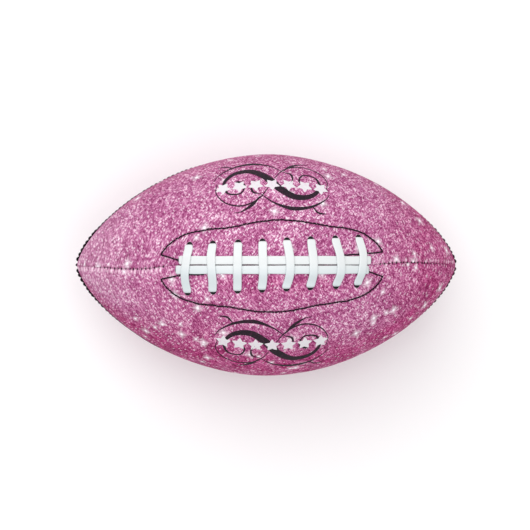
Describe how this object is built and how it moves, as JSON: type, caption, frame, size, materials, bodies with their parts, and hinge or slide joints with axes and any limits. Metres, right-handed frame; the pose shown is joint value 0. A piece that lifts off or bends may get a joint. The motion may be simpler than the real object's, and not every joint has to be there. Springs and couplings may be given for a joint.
{
  "type": "american football",
  "caption": "Four-panel laced ball with a printed cover, fabric linings, stitched lace reinforcements, an inner bladder and a needle valve.",
  "frame": {"origin": "centre of the ball", "axes": "+X along the long axis, nose to nose; +Z out through the middle of the laces; +Y towards the left seam"},
  "size_m": [0.2848, 0.1656, 0.1689],
  "materials": {
    "printed_cover": "satin",
    "white_ink": "satin",
    "black_ink": "satin",
    "lining_fabric": "matte",
    "reinforcement_fabric": "matte",
    "black_thread": "matte",
    "white_lace": "satin",
    "bladder_rubber": "matte",
    "valve_rubber": "matte",
    "core_rubber": "matte"
  },
  "bodies": {
    "root": {"upper_left_panel": "printed_cover", "upper_right_panel": "printed_cover", "lower_left_panel": "printed_cover", "lower_right_panel": "printed_cover", "upper_left_lining": "lining_fabric", "upper_right_lining": "lining_fabric", "lower_left_lining": "lining_fabric", "lower_right_lining": "lining_fabric", "lace_seam_thread": "black_thread", "left_seam_thread": "black_thread", "right_seam_thread": "black_thread", "bottom_seam_thread": "black_thread", "left_lace_reinforcement": "reinforcement_fabric", "right_lace_reinforcement": "reinforcement_fabric", "left_reinforcement_thread": "black_thread", "right_reinforcement_thread": "black_thread", "lace": "white_lace", "lace_tongue": "reinforcement_fabric", "bladder": "bladder_rubber", "valve_housing": "valve_rubber", "valve_core": "core_rubber"}
  },
  "joints": []
}
